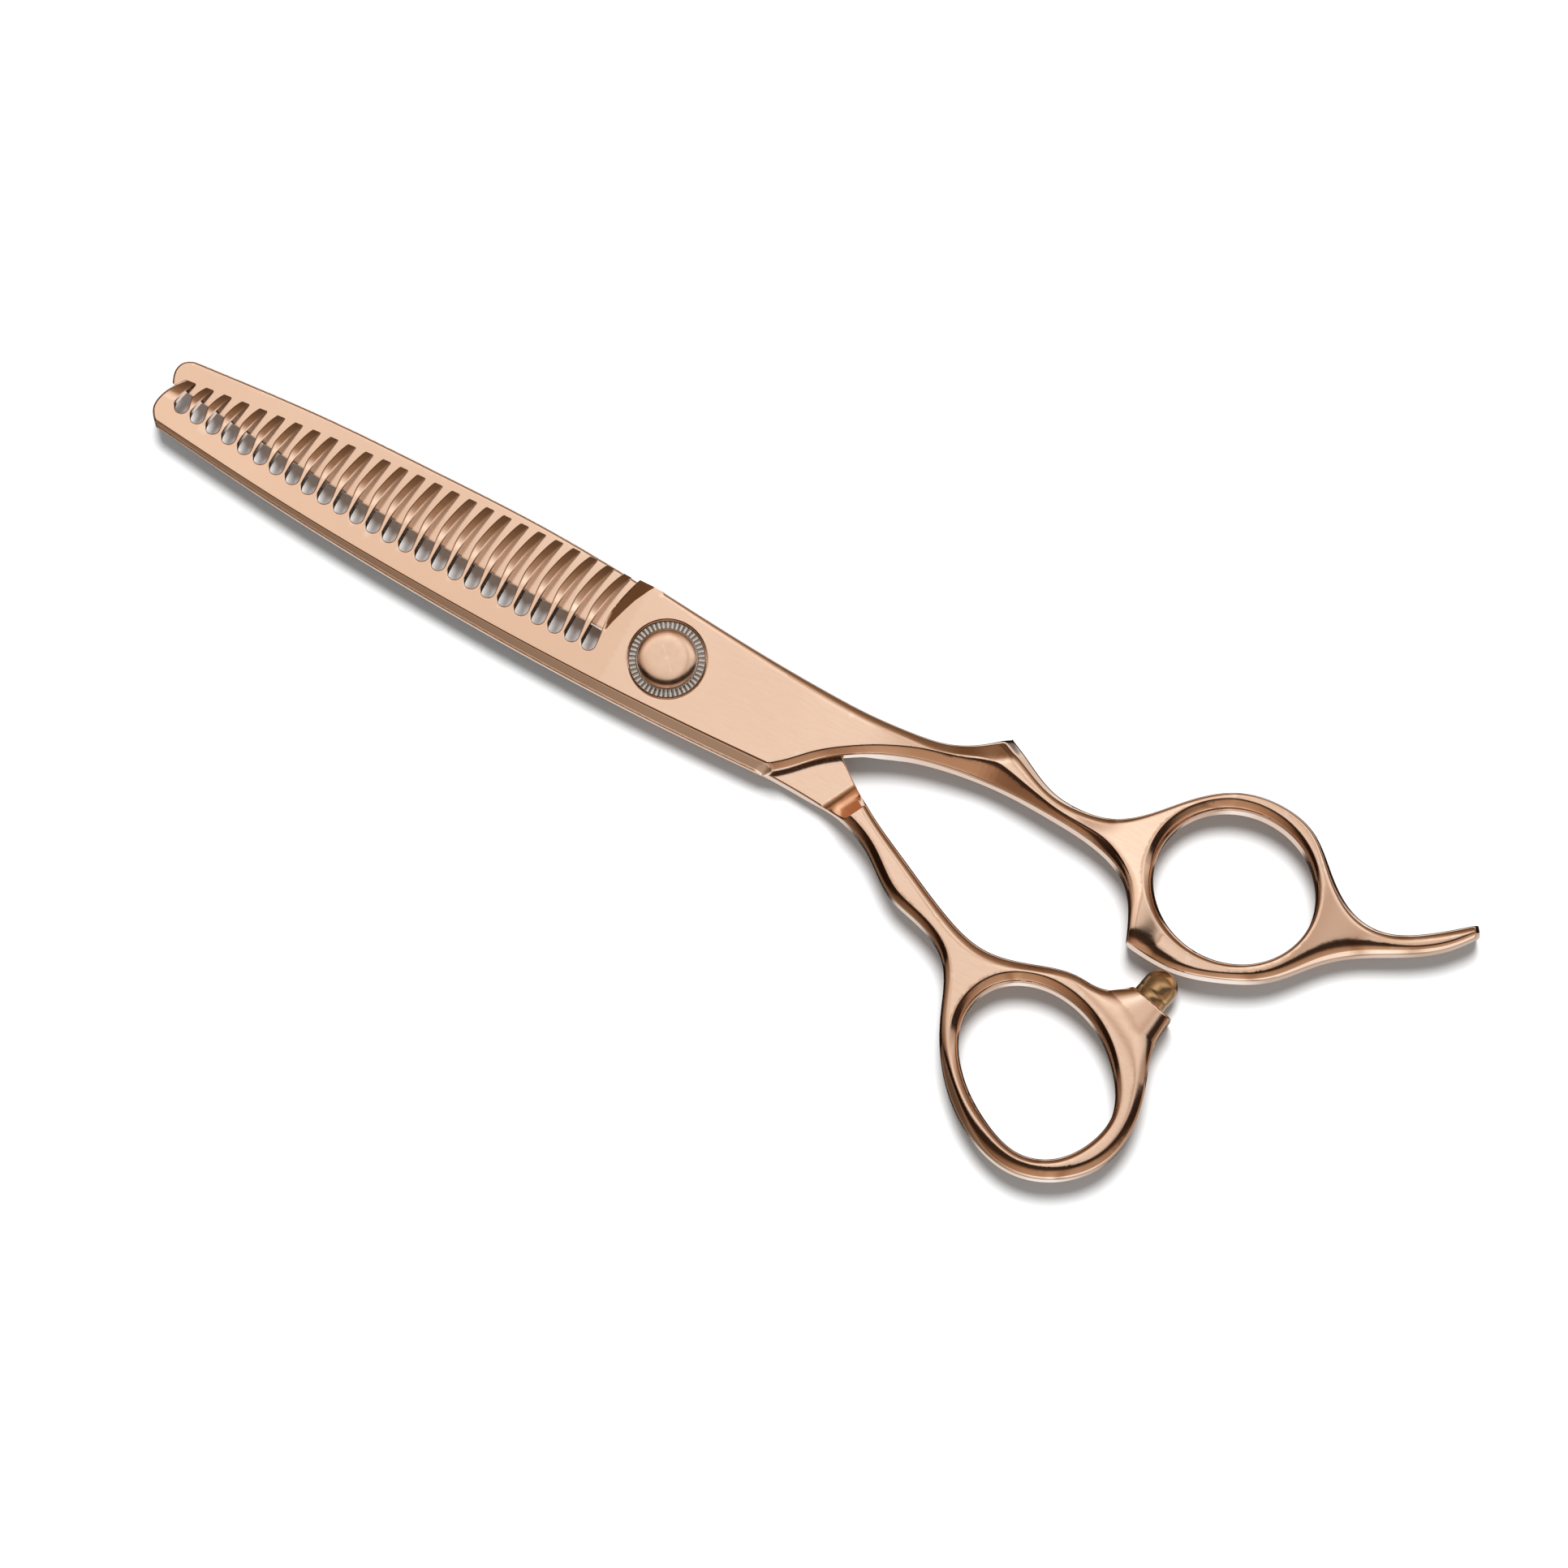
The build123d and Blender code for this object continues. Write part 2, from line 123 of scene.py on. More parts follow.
# ---- curves ---------------------------------------------------------------------------------
def smooth(points, closed=False):
    """Dense points along the natural cubic curve through the given ones."""
    p = np.array(points, float)
    if closed:
        p = np.vstack([p, p, p, p[:1]])
    chord = np.hypot(*np.diff(p, axis=0).T)
    t = np.r_[0, np.cumsum(chord)]
    n = len(t)
    a = np.eye(n)
    rhs = np.zeros((n, 2))
    for i in range(1, n - 1):
        a[i, i - 1:i + 2] = chord[i - 1], 2 * (chord[i - 1] + chord[i]), chord[i]
        rhs[i] = 6 * ((p[i + 1] - p[i]) / chord[i] - (p[i] - p[i - 1]) / chord[i - 1])
    m = np.linalg.solve(a, rhs)
    low, high = (t[n // 3], t[2 * (n // 3)]) if closed else (0, t[-1])
    s = np.linspace(low, high, max(8, int((high - low) / 0.03)))
    k = np.clip(np.searchsorted(t, s) - 1, 0, n - 2)
    u = ((t[k + 1] - s) / chord[k])[:, None]
    w = 1 - u
    h = (chord[k] ** 2 / 6)[:, None]
    return u * p[k] + w * p[k + 1] + (u ** 3 - u) * h * m[k] + (w ** 3 - w) * h * m[k + 1]


def resample(p, step):
    """The same curve with even spacing close to step."""
    s = np.r_[0, np.cumsum(np.hypot(*np.diff(p, axis=0).T))]
    t = np.linspace(0, s[-1], max(1, int(round(s[-1] / step))) + 1)
    return np.c_[np.interp(t, s, p[:, 0]), np.interp(t, s, p[:, 1])]


def ellipse(centre, axes):
    t = np.linspace(0, 2 * math.pi, 1200)
    return np.c_[centre[0] + axes[0] * np.cos(t), centre[1] + axes[1] * np.sin(t)]


def straight(a, b):
    return np.linspace(a, b, max(3, int(np.hypot(b[0] - a[0], b[1] - a[1]) / 0.05)))


def slot_walls(index, tip_y):
    """(right wall going down, round root, left wall going up) of one slot."""
    share = index / (SLOTS - 1)
    x = FIRST_SLOT + PITCH * index
    root = ROOT_HALF - ROOT_DROP[0] - ROOT_DROP[1] * share + ROOT_DROP[2] * share ** 2
    reach = SLOT_LENGTH[0] + SLOT_LENGTH[1] * share - SLOT_LENGTH[2] * share ** 2
    f = np.linspace(0, 1.15, 260)
    drift = (TIP_DRIFT + HEEL_EXTRA_DRIFT * share) * f ** (1.35 + 1.1 * share)

    def wall(offset):
        line = np.c_[x + drift + offset, root + reach * f]
        return line[line[:, 1] < tip_y(line[:, 0])]

    t = np.linspace(0, -math.pi, 40)
    arc = np.c_[np.cos(t), np.sin(t)] * ROOT_HALF + (x, root)
    return wall(ROOT_HALF - NARROWING * ease(f, 0, 0.5))[::-1], arc, wall(-ROOT_HALF)


def toothed_edge():
    """Runs along the tooth tips from the heel to the nose, in and out of every slot."""
    tips = smooth(TIPS)

    def tip_y(x):
        return np.interp(x, tips[::-1, 0], tips[::-1, 1])

    def tip_run(x0, x1):
        x = np.linspace(x0, x1, max(4, int(abs(x1 - x0) / 0.05)))
        return np.c_[x, tip_y(x)]

    runs, x = [], tips[0, 0]
    for index in reversed(range(SLOTS)):
        down, arc, up = slot_walls(index, tip_y)
        start, end = down[0, 0], up[-1, 0]
        runs.append(("tip", tip_run(x, start)))
        runs.append(("slot", np.vstack([[start, tip_y(start)], down, arc[1:-1], up, [end, tip_y(end)]])))
        x = end
    runs.append(("tip", tip_run(x, tips[-1, 0])))
    return runs


def follow(run, width, offsets, step=0.22):
    """Points beside a run, at a varying distance inside it."""
    p = resample(run, step)
    d = np.gradient(p, axis=0)
    inward = np.c_[-d[:, 1], d[:, 0]] / np.hypot(*d.T)[:, None]
    rows = []
    for offset in offsets:
        q = p
        for _ in range(5):
            q = p + inward * (width(q[:, 0], q[:, 1]) + offset)[:, None]
        rows.append(q)
    return np.vstack(rows)


class Edge:
    """Distance from one labelled part of the outline."""

    def __init__(self, runs):
        pieces = [resample(r, 0.08) for r in runs]
        self.a = np.vstack([p[:-1] for p in pieces])
        self.b = np.vstack([p[1:] for p in pieces])
        self.tree = KDTree(len(self.a))
        for i, m in enumerate((self.a + self.b) / 2):
            self.tree.insert((m[0], m[1], 0), i)
        self.tree.balance()

    def near(self, q):
        return np.array([self.tree.find((x, y, 0))[1] for x, y in q])

    def distance(self, q, near):
        best = np.full(len(q), 1e9)
        for shift in (-2, -1, 0, 1, 2):
            k = np.clip(near + shift, 0, len(self.a) - 1)
            d = self.b[k] - self.a[k]
            rel = q - self.a[k]
            t = np.clip((rel * d).sum(1) / (d * d).sum(1), 0, 1)
            off = rel - t[:, None] * d
            best = np.minimum(best, (off * off).sum(1))
        return np.sqrt(best)


# ---- plan mesh ------------------------------------------------------------------------------
class Plate:
    """A half of the shears: a fine plan mesh with a shaped top, underside and walls."""

    def __init__(self, loops, layers, extra, step=0.26, grid=0.6):
        """loops: outlines of (label, curve) runs; layers: insets by label; extra: points on creases."""
        self.labels = sorted({label for loop in loops for label, run in loop})
        self.edges = {name: Edge([run for loop in loops for label, run in loop if label == name])
                      for name in self.labels}
        points, links, offsets = [], [], []
        for loop in loops:
            start = sum(len(p) for p in points)
            rows, names = [], []
            for label, run in loop:
                piece = resample(run, layers[label].get("step", step))[:-1]
                rows.append(piece)
                names += [label] * len(piece)
            ring = np.vstack(rows)
            n = len(ring)
            links += [(start + i, start + (i + 1) % n) for i in range(n)]
            points.append(ring)
            d = np.roll(ring, -1, 0) - np.roll(ring, 1, 0)
            inward = np.c_[-d[:, 1], d[:, 0]] / np.hypot(*d.T)[:, None]
            for i, label in enumerate(names):
                offsets += [(ring[i] + inward[i] * w, w) for w in layers[label]["at"]]
        rim = np.vstack(points)
        self.rim_a, self.rim_b = (rim[[link[k] for link in links]] for k in (0, 1))
        to_rim = self.all_distance(np.array([p for p, w in offsets]))
        inner = np.array([p for (p, w), d in zip(offsets, to_rim) if d > 0.93 * w])
        lo, hi = rim.min(0), rim.max(0)
        gx, gy = np.meshgrid(np.arange(lo[0], hi[0], grid), np.arange(lo[1], hi[1], grid * 0.87))
        gx[1::2] += grid / 2
        field = np.c_[gx.ravel(), gy.ravel()]
        field = field[self.all_distance(field) > 0.35]
        field = field[self.inside(field)]
        lines = np.vstack(extra)
        lines = lines[self.inside(lines)]
        lines = lines[self.all_distance(lines) > 0.05]
        inner = self.thin(np.vstack([lines, inner, field]), len(lines))
        every = np.vstack([rim, inner])
        out = delaunay_2d_cdt([Vector(p) for p in every], links, [], 0, 1e-5, False)
        self.q = np.array([tuple(v) for v in out[0]])
        tris = np.array([f for f in out[2]])
        self.tris = tris[self.inside(self.q[tris].mean(1))]

    @staticmethod
    def thin(points, close, gap=0.1):
        """Drops points that crowd an earlier one; the first few may stand closer together."""
        tree = KDTree(len(points))
        for i, p in enumerate(points):
            tree.insert((p[0], p[1], 0), i)
        tree.balance()
        keep = np.ones(len(points), bool)
        for i, p in enumerate(points):
            if keep[i]:
                for _, j, far in tree.find_range((p[0], p[1], 0), gap):
                    if j > i and (j >= close or far < 0.035):
                        keep[j] = False
        return points[keep]

    def all_distance(self, q):
        return np.min([self.edges[n].distance(q, self.edges[n].near(q)) for n in self.labels], axis=0)

    def inside(self, q):
        """True for points in the metal, by counting outline crossings to the right."""
        a, b = self.rim_a, self.rim_b
        slope = (b[:, 0] - a[:, 0]) / np.where(b[:, 1] == a[:, 1], 1e-12, b[:, 1] - a[:, 1])
        found = []
        for block in np.array_split(q, max(1, len(q) // 4000)):
            x, y = block[:, :1], block[:, 1:]
            spans = (a[:, 1] > y) != (b[:, 1] > y)
            found.append((spans & (x < a[:, 0] + (y - a[:, 1]) * slope)).sum(1) % 2 == 1)
        return np.concatenate(found)

    def surface(self, height, lift, inset, reach=0.012):
        """Heights at the plan points, normals at the inset ones; lift is 1 on top and -1 beneath."""
        near = {n: e.near(self.q) for n, e in self.edges.items()}

        def at(q):
            return height(q[:, 0], q[:, 1], {n: e.distance(q, near[n]) for n, e in self.edges.items()})

        dx = (at(inset + (reach, 0)) - at(inset - (reach, 0))) / (2 * reach)
        dy = (at(inset + (0, reach)) - at(inset - (0, reach))) / (2 * reach)
        normal = np.c_[-dx, -dy, np.ones(len(dx))] * lift
        return at(self.q), normal / np.linalg.norm(normal, axis=1)[:, None]

    def build(self, name, top, under, pocket=None):
        """Mesh object with the given top and underside, walls between them and its own normals."""
        q, tris = self.q, self.tris
        used = dict.fromkeys(side for a, b, c in tris for side in ((a, b), (b, c), (c, a)))
        rim = [(a, b) for a, b in used if (b, a) not in used]
        away = np.zeros_like(q)
        facing = {}
        for a, b in rim:
            d = q[b] - q[a]
            facing[a, b] = np.array([d[1], -d[0]]) / np.hypot(*d)
            away[a] += facing[a, b]
            away[b] += facing[a, b]
        size = np.hypot(*away.T)[:, None]
        away = np.where(size > 0, away / np.maximum(size, 1e-9), 0)
        inset = q - 0.03 * away
        zt, nt = self.surface(top, 1, inset)
        zb, nb = self.surface(under, -1, inset)
        n = len(q)
        verts = np.vstack([np.c_[q, zt], np.c_[q, zb]])
        faces, corners = [], []
        for a, b, c in tris:
            faces += [(a, b, c), (n + c, n + b, n + a)]
            corners += [nt[a], nt[b], nt[c], nb[c], nb[b], nb[a]]
        for a, b in rim:
            ways = []
            for k in (a, b):
                f = facing[a, b]
                w = away[k] if away[k] @ f > 0.93 else f
                ways.append((w[0], w[1], 0))
            faces.append((n + a, n + b, b, a))
            corners += [ways[0], ways[1], ways[1], ways[0]]
        if pocket:
            verts, faces, corners = pocket(verts, faces, corners)
        mesh = bpy.data.meshes.new(name)
        mesh.from_pydata((verts * MM).tolist(), [], [tuple(int(i) for i in f) for f in faces])
        mesh.polygons.foreach_set("use_smooth", [True] * len(mesh.polygons))
        mesh.normals_split_custom_set([tuple(c) for c in corners])
        obj = bpy.data.objects.new(name, mesh)
        bpy.context.scene.collection.objects.link(obj)
        return obj


# ---- section shapes -------------------------------------------------------------------------
def ramp(x, low, high):
    return np.clip((x - low) / (high - low), 0, 1)


def ease(x, low, high):
    t = ramp(x, low, high)
    return t * t * (3 - 2 * t)


def facet(d, width, slope, soft=0.05):
    """Flat bevel of a given width and slope; soft rounds the crease where it meets the flat."""
    x = (width - d) / soft
    return slope * soft * np.logaddexp(0, np.clip(x, -40, 400))


def bead(d, width, depth):
    """Rounded edge: an elliptical quarter section."""
    x = np.clip((width - d) / width, 0, 1)
    return depth * (1 - np.sqrt(np.maximum(1 - x * x, 0)))


BAND_SLOPE, BRIM_SLOPE = 0.5, 0.8


def rim(d, band, brim, soft=0.06):
    """Handle edge: a shallow band, then a steep brim with a small rounded corner."""
    return facet(d, band + brim, BAND_SLOPE, soft) + facet(d, brim, BRIM_SLOPE, 0.05) + bead(d, 0.16, 0.2)


def along(x, *pairs):
    """Value along x through the given (x, value) pairs."""
    return np.interp(x, [p[0] for p in pairs], [p[1] for p in pairs])


def taken(x, table, column):
    """One column of a table along x, whose first column is x, with its corners smoothed."""
    places, values = [row[0] for row in table], [row[column] for row in table]
    return sum(np.interp(x + shift, places, values) for shift in (-1.5, -0.75, 0, 0.75, 1.5)) / 5


def around(u, v, centre):
    """Cosine and sine of the direction from a centre."""
    angle = np.arctan2(v - centre[1], u - centre[0])
    return np.cos(angle), np.sin(angle)


# ---- comb half ------------------------------------------------------------------------------
# steep heel of the tooth bevel: y rows and the x of its foot and of its crest
WEDGE_LEFT = ((-0.5, 1.0, 2.5, 4.5, 7.2), (-8.35, -8.6, -8.6, -8.35, -7.6))
WEDGE_RIGHT = ((-0.3, 1.0, 2.8, 4.5, 6.4, 7.2), (-8.2, -7.9, -7.35, -6.75, -5.8, -5.3))
WEDGE_SLOPE, WEDGE_FOOT_SLOPE = 0.42, 9
SPINE_SLOPE, SPINE_LINE_SLOPE = 2.1, 0.19
# along x: width of the bevel on the spine, width of the eased line above it
SPINE_BAND = ((-69, 0.42, 0.14), (-50, 0.62, 0.15), (-30, 0.85, 0.16), (-10, 1.05, 0.18), (5, 1.15, 0.22),
              (16, 1.15, 0.26))
# along x: shallow band, steep brim, softness of the crease, in all tables named RIM
LOWER_RIM = ((16, 0.85, 0.15, 0.05), (24, 0.75, 0.15, 0.05), (30, 0.9, 0.2, 0.05), (35, 1.2, 0.25, 0.06),
             (38, 1.7, 0.3, 0.09), (40, 2.15, 0.35, 0.1), (42, 1.85, 0.3, 0.1), (45, 1.2, 0.25, 0.1),
             (50, 0.6, 0.15, 0.08), (53, 0.6, 0.15, 0.1), (56, 0.8, 0.2, 0.2), (58, 0.7, 0.2, 0.25),
             (61, 0.5, 0.15, 0.2), (64, 0.3, 0.1, 0.3))
# along x: width and slope of the eased line above the band
LOWER_LINE = ((16, 0.05, 0.19), (28, 0.1, 0.19), (34, 0.16, 0.19), (38, 0.28, 0.2), (40, 0.36, 0.2),
              (44, 0.28, 0.2), (49, 0.12, 0.2), (54, 0.28, 0.24), (57, 0.34, 0.33), (60, 0.12, 0.36),
              (62, 0.0, 0.36))
RING_UNDER_RIM = ((64, 0.9, 0.15, 0.4), (68, 0.9, 0.15, 0.3), (72, 0.5, 0.2, 0.08), (76, 0.5, 0.2, 0.06),
                  (80, 0.6, 0.25, 0.08), (84, 0.75, 0.45, 0.25), (87, 0.8, 0.65, 0.35),
                  (90, 0.65, 0.6, 0.2), (94, 0.35, 0.5, 0.06), (101, 0.3, 0.4, 0.06))
RING_TOP_RIM = ((41, 0.5, 1.1, 0.2), (44, 0.45, 0.85, 0.15), (48, 0.4, 0.6, 0.1), (52, 0.5, 0.3, 0.08),
                (56, 0.5, 0.15, 0.08), (60, 0.2, 0.12, 0.06), (70, 0.08, 0.14, 0.05),
                (78, 0.1, 0.25, 0.05), (82, 0.2, 0.45, 0.08), (87, 0.25, 0.5, 0.1),
                (92, 0.35, 0.25, 0.1), (101, 0.5, 0.2, 0.1))
BACK_RIM = ((-6, 0.2, 0.04, 0.05), (8, 0.35, 0.06, 0.08), (20, 0.65, 0.08, 0.12), (30, 0.8, 0.12, 0.12),
            (35, 1.1, 0.15, 0.12), (38, 1.5, 0.2, 0.15), (41, 2.0, 0.4, 0.2))
# (mean, leftward, upward) parts of the band and of the brim round the finger and thumb holes
FINGER_BANDS = ((0.5, 0.33, 0.22), (0.35, 0.17, 0.0))
THUMB_BANDS = ((0.6, 0.2, 0.15), (0.3, 0.1, 0.0))


def rim_along(d, u, table):
    return rim(d, taken(u, table, 1), taken(u, table, 2), taken(u, table, 3))


def hole_widths(u, v, centre, bands):
    """Widths round a hole from their mean, leftward and upward parts."""
    cos, sin = around(u, v, centre)
    return [mean - left * cos + up * sin for mean, left, up in bands]


def hole_rim(d, u, v, centre, bands):
    return rim(d, *hole_widths(u, v, centre, bands))


def eased_line(d, crease, width, slope):
    """Narrow, barely tilted strip just above a crease."""
    return facet(d, crease + width, slope, 0.02) - facet(d, crease, slope, 0.02)


def lower_crease(u):
    return taken(u, LOWER_RIM, 1) + taken(u, LOWER_RIM, 2)


def comb_plateau(u, v):
    """Flat top of the comb half: lower towards the tip and at the tang, slightly tilted in the web."""
    tip = PLATEAU - (PLATEAU - TIP_TOP) * ramp(-u, -TAPER_START, -TIP_X)
    web = (0.035 * (u - 60) - 0.065 * (v - 7)) * ease(u, 52, 58) * (1 - ease(u, 63, 68))
    return tip - (PLATEAU - HANDLE_TOP) * ease(u, 25, 36) + (web - 0.3 * ease(u, 82, 90))


def tooth_drop(u, v, flat):
    """Depth of the rounded bevel that thins the teeth, ended by the heel wedge."""
    start = along(u, (-70, 0.2), (-38, -0.2), (-2, -0.4))
    end = along(u, (-70, 3.4), (-38, 6.4), (-2, 7.6))
    share = ramp(v, start, end)
    left, right = np.interp(v, *WEDGE_LEFT), np.interp(v, *WEDGE_RIGHT)
    heel = WEDGE_SLOPE * np.maximum(right - u, 0) + WEDGE_FOOT_SLOPE * np.maximum(left - u, 0)
    return np.minimum((flat - TOOTH_TIP_TOP) * share ** np.where(u > left, 1.2, 2.0), heel)


def comb_top(u, v, d):
    flat = comb_plateau(u, v)
    z = flat - tooth_drop(u, v, flat)
    width = taken(u, SPINE_BAND, 1)
    z = z - facet(d["spine"], width, SPINE_SLOPE, 0.03) + facet(d["spine"], 0.25, 1.3, 0.05)
    z = z - eased_line(d["spine"], width, taken(u, SPINE_BAND, 2), SPINE_LINE_SLOPE)
    z = z - eased_line(d["lower"], lower_crease(u), taken(u, LOWER_LINE, 1), taken(u, LOWER_LINE, 2))
    z = z - rim_along(d["lower"], u, LOWER_RIM) - rim_along(d["ring_under"], u, RING_UNDER_RIM)
    z = z - rim_along(d["ring_top"], u, RING_TOP_RIM) - rim_along(d["back"], u, BACK_RIM)
    z = z - hole_rim(d["hole"], u, v, FINGER_HOLE, FINGER_BANDS)
    z = z - facet(d["tang_end"], 0.6, 1.8, 0.04) - bead(d["nose"], 0.3, 0.25)
    return z - bead(d["slot"], 0.05, 0.05) - bead(d["pocket"], 0.05, 0.04)


def comb_under(u, v, d):
    """Ride face, then a step down to the rounded underside of the handle."""
    handle = ease(u, 27.5, 31)
    z = COMB_UNDER * (1 - ramp(u - 0.25 * (v - 2.5), 26.6, 30.0))
    for name in ("lower", "ring_under", "ring_top", "back", "hole"):
        z = z + handle * (facet(d[name], 0.8, 0.3, 0.1) + bead(d[name], 0.9, 1.5))
    return z + handle * bead(d["tang_end"], 0.3, 0.3)


def pocket_floor(verts, faces, corners):
    """Floor of the round pocket under the dial, and the bore through it: a closed ring."""
    n, start = 96, len(verts)
    t = np.linspace(0, 2 * math.pi, n, endpoint=False)
    ring = np.c_[np.cos(t), np.sin(t)]
    rows = [(POCKET_R, POCKET_FLOOR), (BORE_R, POCKET_FLOOR), (BORE_R, COMB_UNDER),
            (POCKET_R, COMB_UNDER)]
    size = n * len(rows)
    verts = np.vstack([verts] + [np.c_[ring * r, np.full(n, z)] for r, z in rows])
    for row, (radial, up) in enumerate(((0, 1), (-1, 0), (0, -1), (1, 0))):
        for i in range(n):
            j = (i + 1) % n
            a, b = row * n + i, row * n + j
            faces.append(tuple(start + k % size for k in (a, b, b + n, a + n)))
            here, there = (*(ring[i] * radial), up), (*(ring[j] * radial), up)
            corners += [here, there, there, here]
    return verts, faces, corners


def circle_run(radius):
    """Circle about the pivot, clockwise, as the rim of a hole."""
    return ellipse((0, 0), (radius, radius))[::-1]


RIM_STEPS = [0.04, 0.1, 0.17, 0.3, 0.5, 0.75, 1.05, 1.4, 1.8, 2.3]
CREASE_STEPS = (-0.1, -0.03, 0.04, 0.11)


def rim_creases(run, table):
    return [follow(run, lambda u, v: taken(u, table, 2), CREASE_STEPS),
            follow(run, lambda u, v: taken(u, table, 1) + taken(u, table, 2), CREASE_STEPS)]


def hole_creases(run, centre, bands):
    return [follow(run, lambda u, v: sum(hole_widths(u, v, centre, bands[1:])), CREASE_STEPS),
            follow(run, lambda u, v: sum(hole_widths(u, v, centre, bands)), CREASE_STEPS)]


def comb_creases(outer, hole):
    """Mesh points along every crease of the comb half."""
    rows = np.arange(-0.6, 7.3, 0.16)
    left, right = np.interp(rows, *WEDGE_LEFT), np.interp(rows, *WEDGE_RIGHT)
    creases = [np.c_[side + shift, rows] for side in (left, right) for shift in (-0.05, 0.05)]
    creases.append(np.c_[(left + right) / 2, rows])
    spine, lower = outer[0][1], outer[1][1]
    creases.append(follow(spine, lambda u, v: taken(u, SPINE_BAND, 1), (-0.25, -0.13, -0.05, 0.0, 0.05)))
    creases.append(follow(spine, lambda u, v: taken(u, SPINE_BAND, 1) + taken(u, SPINE_BAND, 2),
                          (-0.02, 0.03, 0.08, 0.15)))
    creases.append(follow(lower, lambda u, v: lower_crease(u) + taken(u, LOWER_LINE, 1),
                          (-0.05, 0.0, 0.05, 0.12)))
    for (_, run), table in zip(outer[1:], (LOWER_RIM, RING_UNDER_RIM, None, RING_TOP_RIM, BACK_RIM)):
        if table:
            creases += rim_creases(run, table)
    return creases + hole_creases(hole, FINGER_HOLE, FINGER_BANDS)


def comb_half():
    outer = [("spine", smooth(SPINE)), ("lower", smooth(LOWER)), ("ring_under", smooth(RING_UNDER)),
             ("tang_end", straight(RING_UNDER[-1], RING_TOP[0])), ("ring_top", smooth(RING_TOP)),
             ("back", smooth(BUMP))] + toothed_edge() + [("nose", smooth(NOSE))]
    hole = [("hole", ellipse(FINGER_HOLE, FINGER_AXES)[::-1])]
    pocket = [("pocket", circle_run(POCKET_R))]
    layers = {"spine": {"at": [0.05, 0.15, 0.3, 0.45]},
              "lower": {"at": RIM_STEPS}, "ring_under": {"at": RIM_STEPS}, "ring_top": {"at": RIM_STEPS},
              "back": {"at": RIM_STEPS}, "hole": {"at": RIM_STEPS},
              "tang_end": {"at": [0.05, 0.15, 0.3], "step": 0.2},
              "nose": {"at": [0.05, 0.15, 0.3]},
              "slot": {"at": [0.03, 0.2], "step": 0.22},
              "tip": {"at": [0.15], "step": 0.2},
              "pocket": {"at": [0.02, 0.06, 0.3], "step": 0.3}}
    plate = Plate([outer, hole, pocket], layers, comb_creases(outer, hole[0][1]))
    return plate.build("comb_half_polished", comb_top, comb_under, pocket_floor)


# ---- plain half -----------------------------------------------------------------------------
SHANK_HEADING = math.radians(-28.4)
SHANK_ROOT = (24.0, -3.8)
RAMP_FOOT, RAMP_CREST = 1.55, 4.9          # of the step up to the handle, along the shank
BOLT_SEAT_R, BOLT_FLATS = 4.25, 3.55       # round seat with two flats at this distance


def shank_run(u, v):
    """Distance along the thumb shank from its root."""
    return (u - SHANK_ROOT[0]) * math.cos(SHANK_HEADING) + (v - SHANK_ROOT[1]) * math.sin(SHANK_HEADING)


UNDER_RIM = ((27, 0.7, 0.16, 0.05), (34, 0.8, 0.16, 0.05), (38, 0.7, 0.18, 0.08), (45, 0.6, 0.16, 0.08),
             (50, 0.4, 0.2, 0.1), (54, 0.3, 0.8, 0.1), (58, 0.4, 0.7, 0.15), (62, 0.9, 0.35, 0.3),
             (66, 0.9, 0.3, 0.25), (72, 0.8, 0.3, 0.12), (76, 0.8, 0.3, 0.1))
SHANK_RIM = ((27, 0.4, 0.25, 0.06), (40, 0.5, 0.3, 0.1), (50, 0.7, 0.3, 0.15), (58, 0.6, 0.25, 0.1),
             (66, 0.6, 0.2, 0.1))


def collar(u, v, d):
    """(share, height above its axis) of the round collar that holds the bumper."""
    (x, y), (ox, oy) = COLLAR_MOUTH, COLLAR_OUT
    axis = (u - x) * ox + (v - y) * oy
    across = (u - x) * oy - (v - y) * ox
    share = ease(d["hole"], 1.3, 4.4) * ease(axis, -8.5, -4.0) * ease(u, 61.5, 66.5)
    left = along(axis, (-6, 9.0), (-3.6, 8.0), (-2.5, 5.6), (-1.1, 4.2), (0, 3.1))
    right = along(axis, (-8.3, 6.3), (-3.6, 3.7), (0, 3.1))
    share_across = across / np.where(across < 0, left, right)
    tall = along(axis, (-7, HANDLE_TOP - 3.15), (-4, 2.95), (0, 2.85))
    return share, tall * np.maximum(1 - share_across ** 4, 0.004) ** 0.25


def thumb_top(u, v, d):
    """Flat blade, a ramp up to the handle, and the collar blended into the ring."""
    run = shank_run(u, v)
    rise = ramp(run, RAMP_FOOT, RAMP_CREST)
    share, cone = collar(u, v, d)
    z = PLAIN_TOP + (HANDLE_TOP - PLAIN_TOP) * rise ** 1.7
    on = ramp(run, RAMP_FOOT + 1.2, RAMP_CREST)
    z = z - on * (rim_along(d["under"], u, UNDER_RIM) + rim_along(d["shank"], u, SHANK_RIM))
    z = z - hole_rim(d["hole"], u, v, THUMB_CENTRE, THUMB_BANDS)
    z = z + share * (COLLAR_MID + cone - z) - bead(d["face"], 0.25, 0.15)
    blade = 1 - ramp(run, RAMP_FOOT - 0.3, RAMP_FOOT + 0.6)
    soft = bead(d["back"], 0.35, 0.3) + bead(d["nose"], 0.3, 0.25) + bead(d["cut"], 0.05, 0.04)
    return z - soft - blade * (bead(d["under"], 0.2, 0.15) + bead(d["shank"], 0.2, 0.15))


